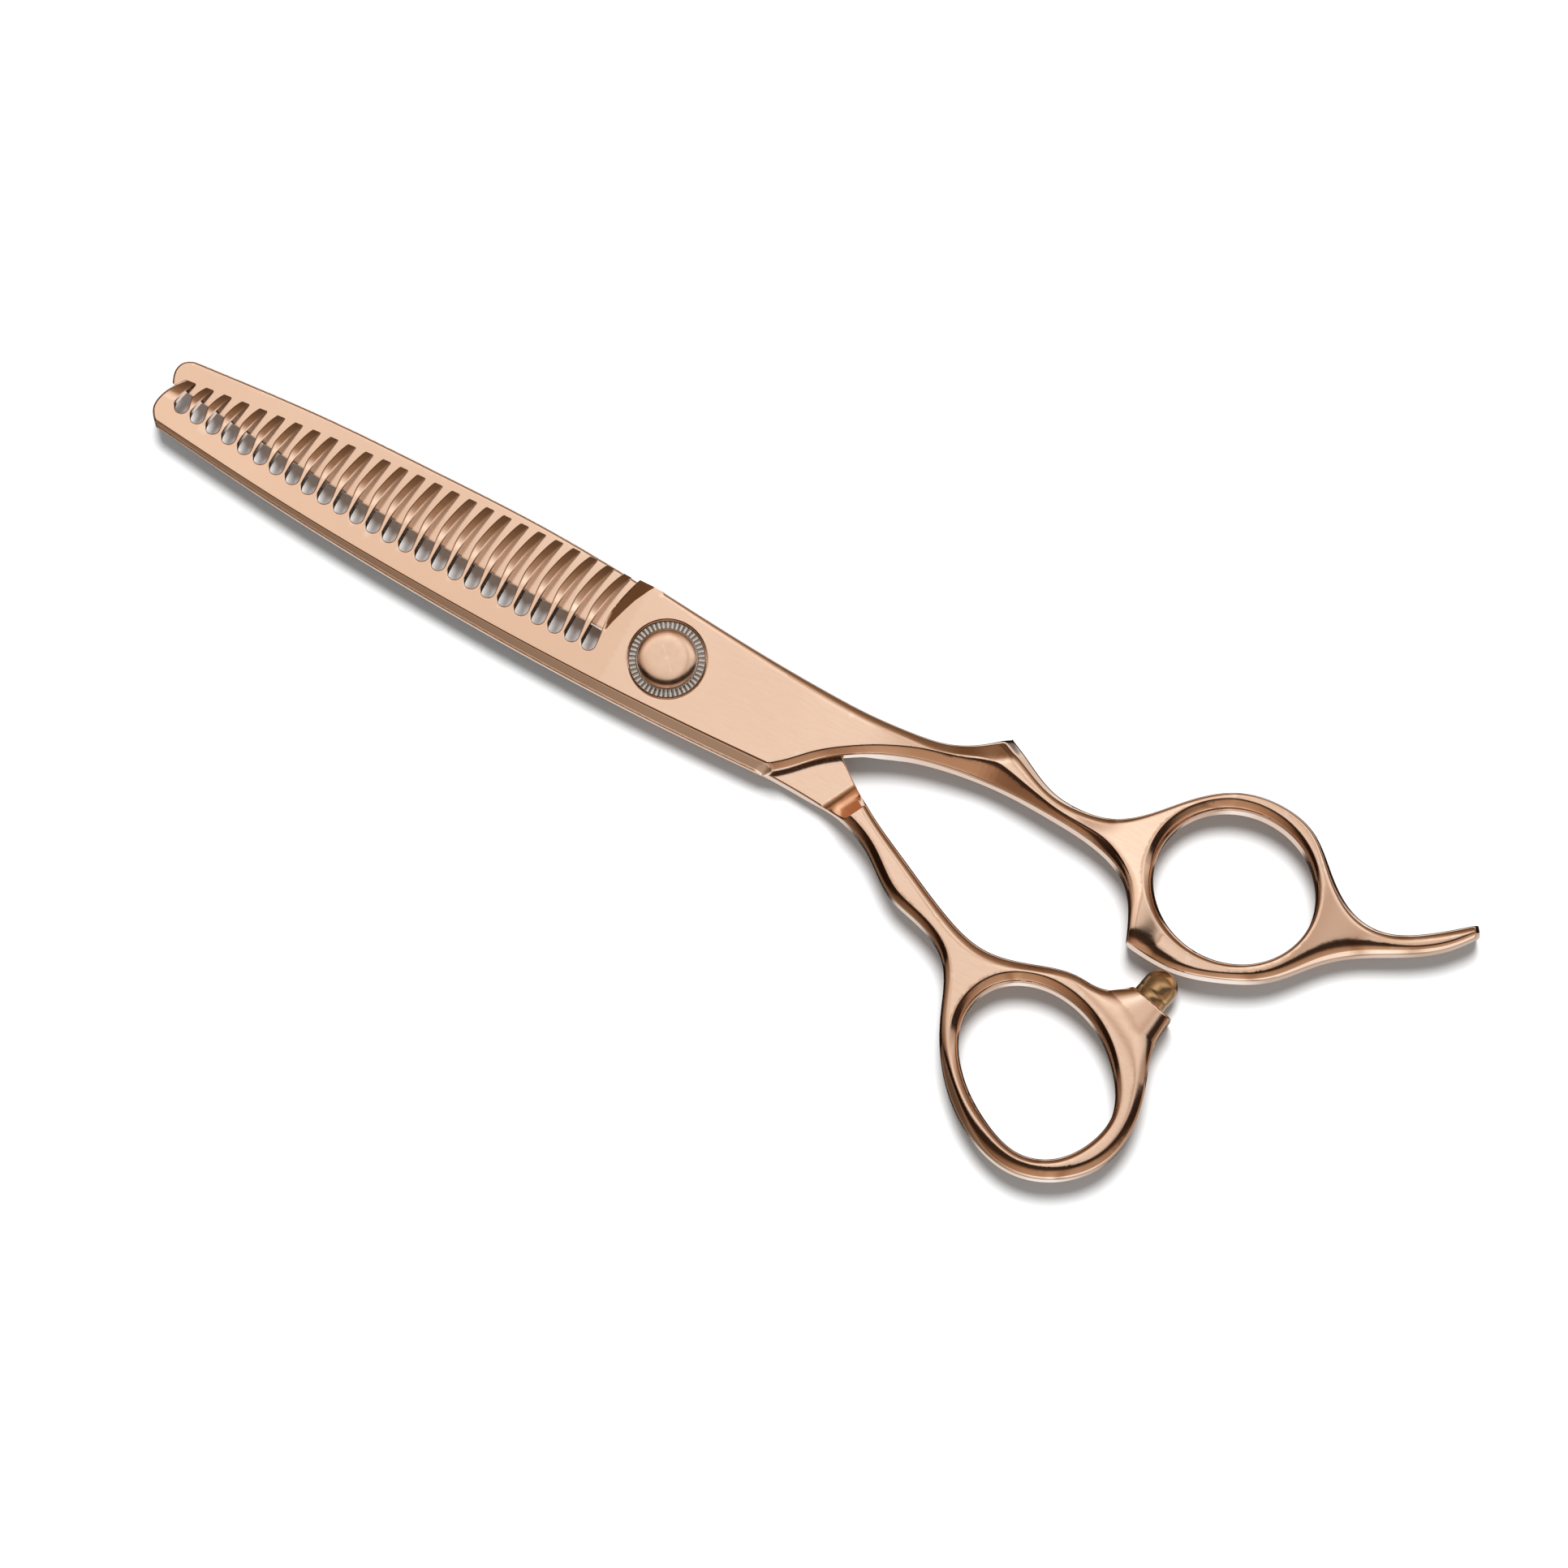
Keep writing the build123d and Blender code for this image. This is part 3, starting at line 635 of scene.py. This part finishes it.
def thumb_under(u, v, d):
    """Underside of the plain half: a bevel to the cutting edge, rounded edges on the handle."""
    run = shank_run(u, v)
    handle = ease(run, -1, 4)
    share, cone = collar(u, v, d)
    low = TIP_UNDER * ramp(-u, -TAPER_START, -TIP_X)
    cut = along(u, (-69, 2.2), (-50.4, 0.4), (-35, -0.1), (-8, 0.1))
    start = along(u, (-71, 5.2), (-8.6, 4.8))
    bevel = ramp(start - v, 0, start - cut) * (1 - ease(u, -12, -7))
    z = low + (PLAIN_TOP - 0.22 - low) * bevel
    for name in ("under", "shank"):
        z = z + handle * (facet(d[name], 0.9, 0.3, 0.12) + bead(d[name], 1.1, 1.8))
    z = z + facet(d["hole"], 0.9, 0.3, 0.12) + bead(d["hole"], 1.1, 1.8)
    z = z + share * (COLLAR_MID - cone - z)
    return z + bead(d["back"], 0.4, 0.35) * (1 - handle)


def thumb_half():
    outer = [("under", smooth(PLAIN_UNDER)), ("face", straight(*COLLAR_FACE)),
             ("shank", smooth(SHANK_TOP)), ("back", smooth(PLAIN_BACK)),
             ("nose", smooth(PLAIN_NOSE)), ("cut", smooth(CUTTING_EDGE))]
    hole = smooth(THUMB_HOLE, closed=True)
    bore = [("bore", np.clip(circle_run(BOLT_SEAT_R), (-9, -BOLT_FLATS), (9, BOLT_FLATS)))]
    layers = {"under": {"at": RIM_STEPS}, "shank": {"at": RIM_STEPS}, "hole": {"at": RIM_STEPS},
              "face": {"at": [0.05, 0.15, 0.3], "step": 0.25}, "back": {"at": [0.05, 0.15, 0.35]},
              "nose": {"at": [0.05, 0.15, 0.3]}, "cut": {"at": [0.05, 0.3]}, "bore": {"at": [0.3]}}
    heading = np.array([math.cos(SHANK_HEADING), math.sin(SHANK_HEADING)])
    across = np.array([-heading[1], heading[0]])
    steps = (RAMP_FOOT - 0.04, RAMP_FOOT + 0.04, RAMP_CREST - 0.12, RAMP_CREST - 0.03, RAMP_CREST + 0.06)
    step_lines = [np.array(SHANK_ROOT) + heading * s + across * t
                  for s in steps for t in np.arange(-3.2, 3.3, 0.25)]
    creases = [np.array(step_lines)]
    creases += rim_creases(outer[0][1], UNDER_RIM) + rim_creases(outer[2][1], SHANK_RIM)
    creases += hole_creases(hole, THUMB_CENTRE, THUMB_BANDS)
    plate = Plate([outer, [("hole", hole)], bore], layers, creases)
    return plate.build("thumb_half_polished", thumb_top, thumb_under)


# ---- small parts ----------------------------------------------------------------------------
def lathe(name, profile, segments=144, wave=None, place=None, crease=30):
    """Turned piece: profile is (radius, height) rows; wave(angle, row) may shift each point's height."""
    mesh = bpy.data.meshes.new(name)
    bm = bmesh.new()
    rings = []
    for row, (r, z) in enumerate(profile):
        if r < 1e-6:
            rings.append([bm.verts.new((0, 0, z * MM))])
            continue
        ring = []
        for i in range(segments):
            t = 2 * math.pi * i / segments
            up = z + (wave(t, row) if wave else 0)
            ring.append(bm.verts.new((r * math.cos(t) * MM, r * math.sin(t) * MM, up * MM)))
        rings.append(ring)
    for low, high in zip(rings, rings[1:]):
        for i in range(segments):
            j = (i + 1) % segments
            corners = [low[i % len(low)], low[j % len(low)], high[j % len(high)], high[i % len(high)]]
            bm.faces.new([c for k, c in enumerate(corners) if c not in corners[:k]])
    bmesh.ops.recalc_face_normals(bm, faces=bm.faces)
    for f in bm.faces:
        f.smooth = True
    for e in bm.edges:
        if len(e.link_faces) == 2 and e.calc_face_angle() > math.radians(crease):
            e.smooth = False
    bm.to_mesh(mesh)
    bm.free()
    if place:
        mesh.transform(place)
    obj = bpy.data.objects.new(name, mesh)
    bpy.context.scene.collection.objects.link(obj)
    return obj


def tension_dial():
    """Ring with radial grooves across its face."""
    low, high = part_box("tension_dial")
    z0, z1, r = low[2] / MM, high[2] / MM, (high[0] - low[0]) / 2 / MM
    bore = 2.1
    flutes = 48
    depth = {5: 0.15, 6: 0.17, 7: 0.17, 8: 0.16, 9: 0.10}    # of a groove, by row of the profile

    def wave(t, row):
        if row not in depth:
            return 0
        x = (t * flutes / (2 * math.pi)) % 1
        return -depth[row] * min(1, max(0, (0.5 - abs(x - 0.5)) * 5 - 0.35))

    profile = [(bore, z0), (r - 0.1, z0), (r, z0 + 0.1), (r, z1 - 0.22)]
    profile += [(r - 0.02, z1 - 0.09), (r - 0.1, z1 - 0.02), (r - 0.3, z1), (r - 0.6, z1), (r - 0.86, z1)]
    profile += [(r - 0.93, z1), (r - 0.98, z1), (bore, z1), (bore, z0)]
    return lathe("tension_dial_fluted", profile, segments=flutes * 10, wave=wave, crease=38)


def screw_cap():
    """Cap with a fine step round its nearly flat top, on a stem."""
    low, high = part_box("screw_cap")
    top, r = high[2] / MM, (high[0] - low[0]) / 2 / MM
    base = top - 1.15
    stem_r, stem_end = 1.2, base - 1.6
    rows = [(0, stem_end), (stem_r, stem_end), (stem_r, base), (r - 0.12, base), (r - 0.03, base + 0.03),
            (r, base + 0.1), (r - 0.01, base + 0.8), (r - 0.04, base + 0.88), (r - 0.08, base + 0.93),
            (r - 0.13, base + 0.95), (r - 0.16, base + 0.93), (r - 0.19, base + 0.95)]
    dome_r, dome_rise = r - 0.21, 0.195
    for i in range(1, 25):
        x = 1 - i / 24
        rows.append((dome_r * x, base + 0.955 + dome_rise * (1 - x ** 8)))
    return lathe("screw_cap_domed", rows, crease=40)


def bumper_tip():
    """Domed soft tip standing on the collar of the thumb ring, hollow where its stud goes."""
    low, high = bottom_of("bumper_tip"), top_of("bumper_tip")
    base = Vector((70.15, -8.5, (low + high) / 2)) * MM
    turn = Vector((*COLLAR_OUT, 0)).to_track_quat("Z", "Y").to_matrix().to_4x4()
    r, length, shoulder, foot = (high - low) / 2, 3.7, 1.5, -1.3
    bore_r, bore_end = 1.02, 1.9
    rows = [(0, bore_end), (bore_r, bore_end), (bore_r, foot), (r - 0.1, foot), (r - 0.02, -1.2),
            (r - 0.02, 0.0), (r - 0.02, 0.3), (r - 0.06, 0.36), (r - 0.06, 0.44), (r - 0.01, 0.5),
            (r, 0.9), (r, shoulder)]
    for i in range(1, 19):
        t = i / 18 * math.pi / 2
        rows.append((r * math.cos(t) if i < 18 else 0, shoulder + (length - shoulder) * math.sin(t)))
    return lathe("bumper_tip_domed", rows, segments=96, place=Matrix.Translation(base) @ turn, crease=50)


# ---- materials ------------------------------------------------------------------------------
# the third colour is painted on sharp edges as a painted highlight
ROSE, ROSE_PALE, ROSE_EDGE_HIGHLIGHT = (0.88, 0.63, 0.47), (0.93, 0.68, 0.52), (0.97, 0.78, 0.64)


def nodes_for(name):
    mat = bpy.data.materials.new(name)
    mat.use_nodes = True
    tree = mat.node_tree
    return mat, tree, tree.nodes["Principled BSDF"]


def noise(tree, stretch, scale, detail=3.0, rough=0.5):
    """Noise in the piece's own coordinates, stretched along the axes."""
    place = tree.nodes.new("ShaderNodeTexCoord")
    mapping = tree.nodes.new("ShaderNodeMapping")
    mapping.inputs["Scale"].default_value = stretch
    tex = tree.nodes.new("ShaderNodeTexNoise")
    tex.inputs["Scale"].default_value = scale
    tex.inputs["Detail"].default_value = detail
    tex.inputs["Roughness"].default_value = rough
    tree.links.new(place.outputs["Object"], mapping.inputs["Vector"])
    tree.links.new(mapping.outputs["Vector"], tex.inputs["Vector"])
    return tex.outputs["Fac"]


def spread(tree, fac, low, high, start=0.3, end=0.7):
    """Maps start..end of a value to low..high."""
    node = tree.nodes.new("ShaderNodeMapRange")
    node.inputs["From Min"].default_value = start
    node.inputs["From Max"].default_value = end
    node.inputs["To Min"].default_value = low
    node.inputs["To Max"].default_value = high
    tree.links.new(fac, node.inputs["Value"])
    return node.outputs["Result"]


def feed(tree, socket, value):
    """Sets a socket to a colour or a number, or links it to another socket."""
    if isinstance(value, tuple):
        socket.default_value = (*value, 1)
    elif isinstance(value, float):
        socket.default_value = value
    else:
        tree.links.new(value, socket)


def blend_colour(tree, fac, first, second, mode="MIX"):
    node = tree.nodes.new("ShaderNodeMix")
    node.data_type = "RGBA"
    node.blend_type = mode
    feed(tree, node.inputs["Factor"], fac)
    for name, value in (("A", first), ("B", second)):
        feed(tree, [s for s in node.inputs if s.name == name and s.type == "RGBA"][0], value)
    return [s for s in node.outputs if s.type == "RGBA"][0]


def metal(name, first, second, rough, grain=(1, 1, 1), grain_scale=900.0, bump=0.06, painted_edge_highlight=None):
    """Polished metal: tone drifts between two colours, fine grain in the gloss, and a paler tone painted on
    sharp convex edges as a painted highlight.
    """
    mat, tree, shader = nodes_for(name)
    shader.inputs["Metallic"].default_value = 1.0
    tone = blend_colour(tree, spread(tree, noise(tree, (1, 1, 1), 45.0), 0, 1), first, second)
    # painted highlight: sharp convex edges, found by pointiness, get a paler colour that stands in for edge
    # glints
    if painted_edge_highlight:
        geometry = tree.nodes.new("ShaderNodeNewGeometry")
        edge = spread(tree, geometry.outputs["Pointiness"], 0.0, 0.6, 0.515, 0.58)
        tone = blend_colour(tree, edge, tone, painted_edge_highlight)
    tree.links.new(tone, shader.inputs["Base Color"])
    grain_fac = noise(tree, grain, grain_scale, 4.0, 0.6)
    tree.links.new(spread(tree, grain_fac, rough[0], rough[1], 0.25, 0.75), shader.inputs["Roughness"])
    relief = tree.nodes.new("ShaderNodeBump")
    relief.inputs["Strength"].default_value = bump
    relief.inputs["Distance"].default_value = 0.00002
    tree.links.new(grain_fac, relief.inputs["Height"])
    tree.links.new(relief.outputs["Normal"], shader.inputs["Normal"])
    return mat


def amber():
    """Moulded bumper: warm brown, glossy, with faint turning marks."""
    mat, tree, shader = nodes_for("amber_bumper_mat")
    drift = spread(tree, noise(tree, (1, 1, 1), 500.0), 0, 1)
    tone = blend_colour(tree, drift, (0.50, 0.31, 0.14), (0.62, 0.41, 0.21))
    tree.links.new(tone, shader.inputs["Base Color"])
    marks = noise(tree, (0.4, 1, 0.4), 2600.0, 2.0)
    tree.links.new(spread(tree, marks, 0.18, 0.26), shader.inputs["Roughness"])
    relief = tree.nodes.new("ShaderNodeBump")
    relief.inputs["Strength"].default_value = 0.05
    relief.inputs["Distance"].default_value = 0.00003
    tree.links.new(marks, relief.inputs["Height"])
    tree.links.new(relief.outputs["Normal"], shader.inputs["Normal"])
    shader.inputs["Metallic"].default_value = 0.9
    shader.inputs["Coat Weight"].default_value = 0.4
    return mat


def washer_material():
    """Dull pale plastic."""
    mat, tree, shader = nodes_for("washer_mat")
    drift = spread(tree, noise(tree, (1, 1, 1), 900.0), 0, 1)
    tone = blend_colour(tree, drift, (0.62, 0.60, 0.55), (0.72, 0.70, 0.66))
    tree.links.new(tone, shader.inputs["Base Color"])
    tree.links.new(spread(tree, noise(tree, (1, 1, 1), 2500.0), 0.4, 0.6), shader.inputs["Roughness"])
    return mat


def make_materials():
    # the pale colour passed to a metal for its edges is a painted highlight on its sharp edges
    dial, steel, bronze = (0.64, 0.63, 0.61), (0.60, 0.60, 0.61), (0.55, 0.35, 0.16)
    return {
        "rose": metal("rose_gold_polished", ROSE, ROSE_PALE, (0.08, 0.16), grain=(1.0, 9.0, 1.0),
                      grain_scale=700.0, bump=0.05, painted_edge_highlight=ROSE_EDGE_HIGHLIGHT),
        "cap": metal("rose_gold_satin", ROSE, ROSE_PALE, (0.14, 0.22), grain_scale=1500.0, bump=0.04,
                     painted_edge_highlight=ROSE_EDGE_HIGHLIGHT),
        "dial": metal("dial_steel_mat", dial, (0.74, 0.73, 0.71), (0.20, 0.32), grain_scale=3000.0,
                      bump=0.1, painted_edge_highlight=(0.7, 0.69, 0.67)),
        "bearing": metal("bearing_steel_mat", steel, (0.70, 0.70, 0.71), (0.12, 0.22)),
        "bronze": metal("bronze_mat", bronze, (0.66, 0.44, 0.22), (0.25, 0.38)),
        "amber": amber(),
        "washer": washer_material(),
    }


def dress(obj, material):
    obj.data.materials.clear()
    obj.data.materials.append(material)


# ---- the object -----------------------------------------------------------------------------
def dress_object():
    mats = make_materials()
    made = [(comb_half(), "comb_half", "comb_side", "rose_gold_steel", "rose"),
            (thumb_half(), "thumb_half", "thumb_side", "rose_gold_steel", "rose"),
            (screw_cap(), "screw_cap", "dial", "rose_gold_steel", "cap"),
            (tension_dial(), "tension_dial", "dial", "dial_steel", "dial"),
            (bumper_tip(), "bumper_tip", "thumb_side", "amber_bumper", "amber")]
    for obj, node, body, slot, mat in made:
        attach(obj, body)
        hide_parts(node)
        dress(obj, mats[mat])
    kept = {"pivot_bolt": "rose", "lower_race": "bearing", "upper_race": "bearing",
            "bearing_balls": "bearing", "click_spring": "bearing", "bumper_stud": "bearing",
            "ball_cage": "bronze", "pivot_bushing": "bronze", "glide_washer": "washer"}
    for node, mat in kept.items():
        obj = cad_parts[node]
        dress(obj, mats[mat])
        if node == "pivot_bolt":
            bevel = obj.modifiers.new("eased_edges", "BEVEL")
            bevel.width = 0.00012
            bevel.segments = 3
            bevel.limit_method = "ANGLE"
            bevel.angle_limit = math.radians(40)


# ---- studio ---------------------------------------------------------------------------------
# the view is turned by HEADING round the vertical and leans by LEAN from straight down
HEADING, LEAN = math.radians(28), math.radians(8)
VIEW_RIGHT = Vector((math.cos(HEADING), math.sin(HEADING), 0))
FAR_SIDE = Vector((-math.sin(HEADING), math.cos(HEADING), 0))    # level, away from the viewer
VIEW_BACK = Vector((0, 0, math.cos(LEAN))) - FAR_SIDE * math.sin(LEAN)
VIEW_UP = VIEW_BACK.cross(VIEW_RIGHT)
LOOK_AT = Vector((19.34, -6.49, 4.42)) * MM
LENS, SENSOR, DISTANCE = 191.5, 36, 1.0

# tones of the light tent: degrees from overhead, positive on the far side, then red, green, blue
TENT_TONES = [
    (-180, 0.95, 0.95, 0.95), (-166, 0.95, 0.95, 0.95), (-150, 0.66, 0.66, 0.66), (-116, 0.62, 0.62, 0.60),
    (-106, 1.35, 1.45, 1.55), (-86, 1.25, 1.30, 1.35), (-76, 0.62, 0.50, 0.40), (-55, 0.60, 0.46, 0.35),
    (-38, 0.50, 0.36, 0.26), (-27, 0.06, 0.04, 0.03), (-3, 0.03, 0.02, 0.015), (1, 0.85, 0.82, 0.80),
    (9, 1.0, 0.98, 0.97), (16, 1.35, 1.38, 1.40), (24, 0.98, 0.93, 0.90), (40, 0.46, 0.34, 0.25),
    (56, 0.25, 0.165, 0.105), (75, 0.14, 0.09, 0.055), (89, 0.12, 0.08, 0.05), (96, 1.15, 1.2, 1.25),
    (118, 1.2, 1.3, 1.4), (127, 0.03, 0.02, 0.015), (180, 0.03, 0.02, 0.015)]
# multiplied by tones that go by the sideways lean, from full left (-1) to full right (1)
TENT_SIDES = [
    (-1.0, 0.16, 0.11, 0.08), (-0.7, 0.26, 0.19, 0.14), (-0.4, 0.62, 0.52, 0.45), (-0.18, 0.84, 0.76, 0.70),
    (-0.045, 0.82, 0.75, 0.70), (0.0, 0.99, 0.99, 0.99), (0.04, 1.0, 1.0, 1.0), (0.07, 0.80, 0.74, 0.70),
    (0.095, 0.60, 0.50, 0.43), (0.13, 0.62, 0.53, 0.46), (0.2, 0.85, 0.82, 0.80), (0.5, 0.80, 0.76, 0.74),
    (1.0, 0.40, 0.30, 0.24)]
FILL_TONE = (0.33, 0.35, 0.36)                 # what rough surfaces get instead of the tent


def camera():
    data = bpy.data.cameras.new("camera")
    data.lens = LENS
    data.sensor_width = SENSOR
    data.clip_start, data.clip_end = 0.05, 20
    cam = bpy.data.objects.new("camera", data)
    turn = Matrix((VIEW_RIGHT, VIEW_UP, VIEW_BACK)).transposed().to_4x4()
    cam.matrix_world = Matrix.Translation(LOOK_AT + VIEW_BACK * DISTANCE) @ turn
    bpy.context.scene.collection.objects.link(cam)
    bpy.context.scene.camera = cam


def floor():
    mesh = bpy.data.meshes.new("floor")
    half, z = 3.0, -0.00003
    mesh.from_pydata([(-half, -half, z), (half, -half, z), (half, half, z), (-half, half, z)], [],
                     [(0, 1, 2, 3)])
    obj = bpy.data.objects.new("floor", mesh)
    bpy.context.scene.collection.objects.link(obj)
    mat, _, shader = nodes_for("floor_mat")
    shader.inputs["Base Color"].default_value = (0.93, 0.93, 0.925, 1)
    shader.inputs["Roughness"].default_value = 0.9
    shader.inputs["Specular IOR Level"].default_value = 0.0
    dress(obj, mat)
    obj.visible_glossy = False


def key_light():
    """Soft light from the far side, seen only as light and shade on the floor."""
    data = bpy.data.lights.new("key", "SUN")
    data.energy = 3.3
    data.angle = math.radians(21)
    obj = bpy.data.objects.new("key", data)
    height = math.radians(68)
    source = FAR_SIDE * math.cos(height) + Vector((0, 0, math.sin(height)))
    obj.matrix_world = source.to_track_quat("Z", "Y").to_matrix().to_4x4()
    obj.visible_glossy = False
    bpy.context.scene.collection.objects.link(obj)


def tone_ramp(tree, fac, stops):
    """Colour along fac (0 to 1) through (place, red, green, blue) stops."""
    node = tree.nodes.new("ShaderNodeValToRGB")
    tree.links.new(fac, node.inputs["Fac"])
    points = node.color_ramp.elements
    while len(points) > 1:
        points.remove(points[-1])
    for i, (place, *colour) in enumerate(stops):
        point = points[0] if i == 0 else points.new(place)
        point.position = place
        point.color = (*colour, 1)
    return node.outputs["Color"]


def studio_tent():
    """World of tones that the polished metal reflects; rough surfaces get one plain tone."""
    world = bpy.data.worlds.new("tent")
    bpy.context.scene.world = world
    world.use_nodes = True
    tree = world.node_tree
    new, link = tree.nodes.new, tree.links.new
    place = new("ShaderNodeTexCoord")

    def part(axis):
        node = new("ShaderNodeVectorMath")
        node.operation = "DOT_PRODUCT"
        link(place.outputs["Generated"], node.inputs[0])
        node.inputs[1].default_value = axis
        return node.outputs["Value"]

    angle = new("ShaderNodeMath")
    angle.operation = "ARCTAN2"
    link(part(FAR_SIDE), angle.inputs[0])
    link(part((0, 0, 1)), angle.inputs[1])
    tone = tone_ramp(tree, spread(tree, angle.outputs[0], 0, 1, -math.pi, math.pi),
                     [((t[0] + 180) / 360, *t[1:]) for t in TENT_TONES])
    side = tone_ramp(tree, spread(tree, part(VIEW_RIGHT), 0, 1, -1.0, 1.0),
                     [((t[0] + 1) / 2, *t[1:]) for t in TENT_SIDES])
    reflected = blend_colour(tree, 1.0, tone, side, "MULTIPLY")
    is_diffuse = new("ShaderNodeLightPath").outputs["Is Diffuse Ray"]
    seen = blend_colour(tree, is_diffuse, reflected, FILL_TONE)
    link(seen, tree.nodes["Background"].inputs["Color"])


dress_object()
floor()
key_light()
studio_tent()
camera()
bpy.context.scene.view_settings.view_transform = "Standard"
